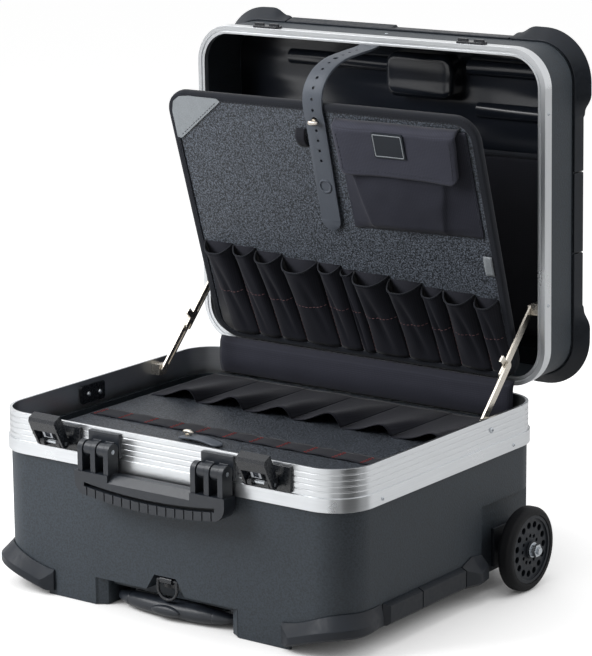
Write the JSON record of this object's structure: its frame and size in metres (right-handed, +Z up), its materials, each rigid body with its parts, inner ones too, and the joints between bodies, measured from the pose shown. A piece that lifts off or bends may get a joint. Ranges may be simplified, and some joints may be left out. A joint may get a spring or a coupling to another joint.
{
  "type": "rolling tool case",
  "caption": "Wheeled moulded tool case with aluminium frames, hinged lid, folding tool panel with pockets, carry handle, toggle latches and pull-out trolley.",
  "frame": {"origin": "on the floor, in the middle of the case's plan, on the flat underside of the trolley housing", "axes": "+X to the right seen from the front, +Y to the hinge side, +Z up"},
  "size_m": [0.56, 0.4967, 0.6063],
  "materials": {
    "shell_plastic": "fine grained moulded surface",
    "frame_aluminium": "satin anodised, fine lines along the profile",
    "bumper_plastic": "smooth satin moulding",
    "handle_plastic": "smooth satin moulding",
    "latch_enamel": "black enamel",
    "latch_chrome": "bright",
    "zinc_steel": "zinc plated",
    "stay_nickel": "warm nickel plated",
    "tube_aluminium": "drawn tube",
    "wheel_rubber": "matte",
    "hub_plastic": "satin moulding",
    "board_plastic": "speckled dark grey board",
    "pocket_cloth": "dense black woven cloth",
    "binding_cloth": "black edge tape",
    "loop_elastic": "black elastic with red stitches",
    "strap_rubber": "grey, smooth",
    "liner_gloss": "glossy black thermoformed sheet",
    "ledge_plastic": "plain"
  },
  "bodies": {
    "base": {"base_shell": "shell_plastic", "base_frame": "frame_aluminium", "base_corner_bumpers": "bumper_plastic", "base_side_strips": "bumper_plastic", "trolley_housing": "bumper_plastic", "trolley_guide_tubes": "tube_aluminium", "handle_brackets": "handle_plastic", "handle_pins": "zinc_steel", "wheel_brackets": "bumper_plastic", "axle_bolts": "zinc_steel", "axle_nuts": "zinc_steel", "stay_base_brackets": "stay_nickel", "axle_washers": "zinc_steel", "latch_plates": "latch_enamel", "latch_pins": "zinc_steel", "hinge_base_leaves": "zinc_steel", "hinge_pins": "zinc_steel", "ring_bracket": "zinc_steel", "pallet_board": "board_plastic", "pallet_ledges": "ledge_plastic", "pallet_loops": "loop_elastic", "pallet_pockets": "pocket_cloth", "pallet_stud": "stay_nickel", "hinge_cover": "pocket_cloth"},
    "lid": {"lid_shell": "shell_plastic", "lid_frame": "frame_aluminium", "lid_corner_bumpers": "bumper_plastic", "lid_edge_strips": "bumper_plastic", "lid_liner": "liner_gloss", "lid_document_pocket": "pocket_cloth", "latch_keepers": "latch_enamel", "hinge_lid_leaves": "zinc_steel", "stay_lid_brackets": "stay_nickel"},
    "tool_panel": {"panel_board": "board_plastic", "panel_binding": "binding_cloth", "panel_pockets": "pocket_cloth", "flap_pocket": "pocket_cloth", "pocket_flap": "pocket_cloth", "strap_stud": "stay_nickel", "retaining_strap": "strap_rubber"},
    "strap_key": {"strap_turn_key": "stay_nickel"},
    "pallet_key": {"pallet_turn_key": "stay_nickel"},
    "carry_handle": {"carry_handle": "handle_plastic"},
    "latch_left": {"latch_lever_left": "latch_enamel", "latch_claw_left": "latch_chrome"},
    "latch_right": {"latch_lever_right": "latch_enamel", "latch_claw_right": "latch_chrome"},
    "stay_lower_left": {"stay_lower_left": "stay_nickel"},
    "stay_lower_right": {"stay_lower_right": "stay_nickel"},
    "stay_upper_left": {"stay_upper_left": "stay_nickel"},
    "stay_upper_right": {"stay_upper_right": "stay_nickel"},
    "wheel_left": {"tyre_left": "wheel_rubber", "hub_left": "hub_plastic"},
    "wheel_right": {"tyre_right": "wheel_rubber", "hub_right": "hub_plastic"},
    "trolley_first": {"trolley_stage_one": "tube_aluminium"},
    "trolley_second": {"trolley_stage_two": "tube_aluminium", "trolley_grip": "handle_plastic"},
    "trolley_button": {"trolley_button": "handle_plastic"},
    "tow_ring": {"tow_ring": "latch_enamel"}
  },
  "joints": [
    {"name": "lid_hinge", "type": "hinge", "parent": "base", "child": "lid", "pos_m": [0, 0.195, 0.205], "axis": [1, 0, 0], "range_deg": [0, 89], "deforming": ["hinge_cover"]},
    {"name": "panel_fold", "type": "hinge", "parent": "lid", "child": "tool_panel", "pos_m": [0, 0.19034, 0.21392], "axis": [1, 0, 0], "range_deg": [-16.7, 0], "deforming": ["retaining_strap"]},
    {"name": "strap_key_turn", "type": "hinge", "parent": "tool_panel", "child": "strap_key", "pos_m": [0, 0.09435, 0.5066], "axis": [0, -0.9532, -0.3024], "range_deg": [0, 90]},
    {"name": "pallet_key_turn", "type": "hinge", "parent": "base", "child": "pallet_key", "pos_m": [-0.048, -0.08508, 0.171], "axis": [0, 0, 1], "range_deg": [0, 90]},
    {"name": "carry_handle_swing", "type": "hinge", "parent": "base", "child": "carry_handle", "pos_m": [0, -0.2045, 0.182], "axis": [-1, 0, 0], "range_deg": [0, 95]},
    {"name": "latch_left_swing", "type": "hinge", "parent": "base", "child": "latch_left", "pos_m": [-0.141, -0.204, 0.181], "axis": [1, 0, 0], "range_deg": [0, 150]},
    {"name": "latch_right_swing", "type": "hinge", "parent": "base", "child": "latch_right", "pos_m": [0.141, -0.204, 0.181], "axis": [1, 0, 0], "range_deg": [0, 150]},
    {"name": "stay_lower_left_fold", "type": "hinge", "parent": "base", "child": "stay_lower_left", "pos_m": [-0.22275, 0.09, 0.191], "axis": [1, 0, 0], "range_deg": [-69.6, 0]},
    {"name": "stay_upper_left_fold", "type": "hinge", "parent": "lid", "child": "stay_upper_left", "pos_m": [-0.21975, 0.196, 0.3], "axis": [1, 0, 0], "range_deg": [0, 6.9]},
    {"name": "stay_lower_right_fold", "type": "hinge", "parent": "base", "child": "stay_lower_right", "pos_m": [0.22275, 0.09, 0.191], "axis": [1, 0, 0], "range_deg": [-69.6, 0]},
    {"name": "stay_upper_right_fold", "type": "hinge", "parent": "lid", "child": "stay_upper_right", "pos_m": [0.21975, 0.196, 0.3], "axis": [1, 0, 0], "range_deg": [0, 6.9]},
    {"name": "wheel_left_spin", "type": "hinge", "parent": "base", "child": "wheel_left", "pos_m": [-0.261, 0.121, 0.0475], "axis": [1, 0, 0], "continuous": true},
    {"name": "wheel_right_spin", "type": "hinge", "parent": "base", "child": "wheel_right", "pos_m": [0.261, 0.121, 0.0475], "axis": [1, 0, 0], "continuous": true},
    {"name": "trolley_first_slide", "type": "slide", "parent": "base", "child": "trolley_first", "axis": [0, -1, 0], "range_m": [0, 0.24]},
    {"name": "trolley_second_slide", "type": "slide", "parent": "trolley_first", "child": "trolley_second", "axis": [0, -1, 0], "range_m": [0, 0.24]},
    {"name": "trolley_button_press", "type": "slide", "parent": "trolley_second", "child": "trolley_button", "axis": [0, 1, 0], "range_m": [0, 0.003], "stiffness_N_per_m": 400},
    {"name": "tow_ring_swing", "type": "hinge", "parent": "base", "child": "tow_ring", "pos_m": [0, -0.1855, 0.044], "axis": [-1, 0, 0], "range_deg": [0, 95]}
  ],
  "couplings": [
    {"joint": "panel_fold", "follows": "lid_hinge", "ratio": -0.18652},
    {"joint": "stay_lower_left_fold", "follows": "lid_hinge", "ratio": -0.781},
    {"joint": "stay_upper_left_fold", "follows": "lid_hinge", "ratio": 0.076346},
    {"joint": "stay_lower_right_fold", "follows": "lid_hinge", "ratio": -0.781},
    {"joint": "stay_upper_right_fold", "follows": "lid_hinge", "ratio": 0.076346}
  ]
}
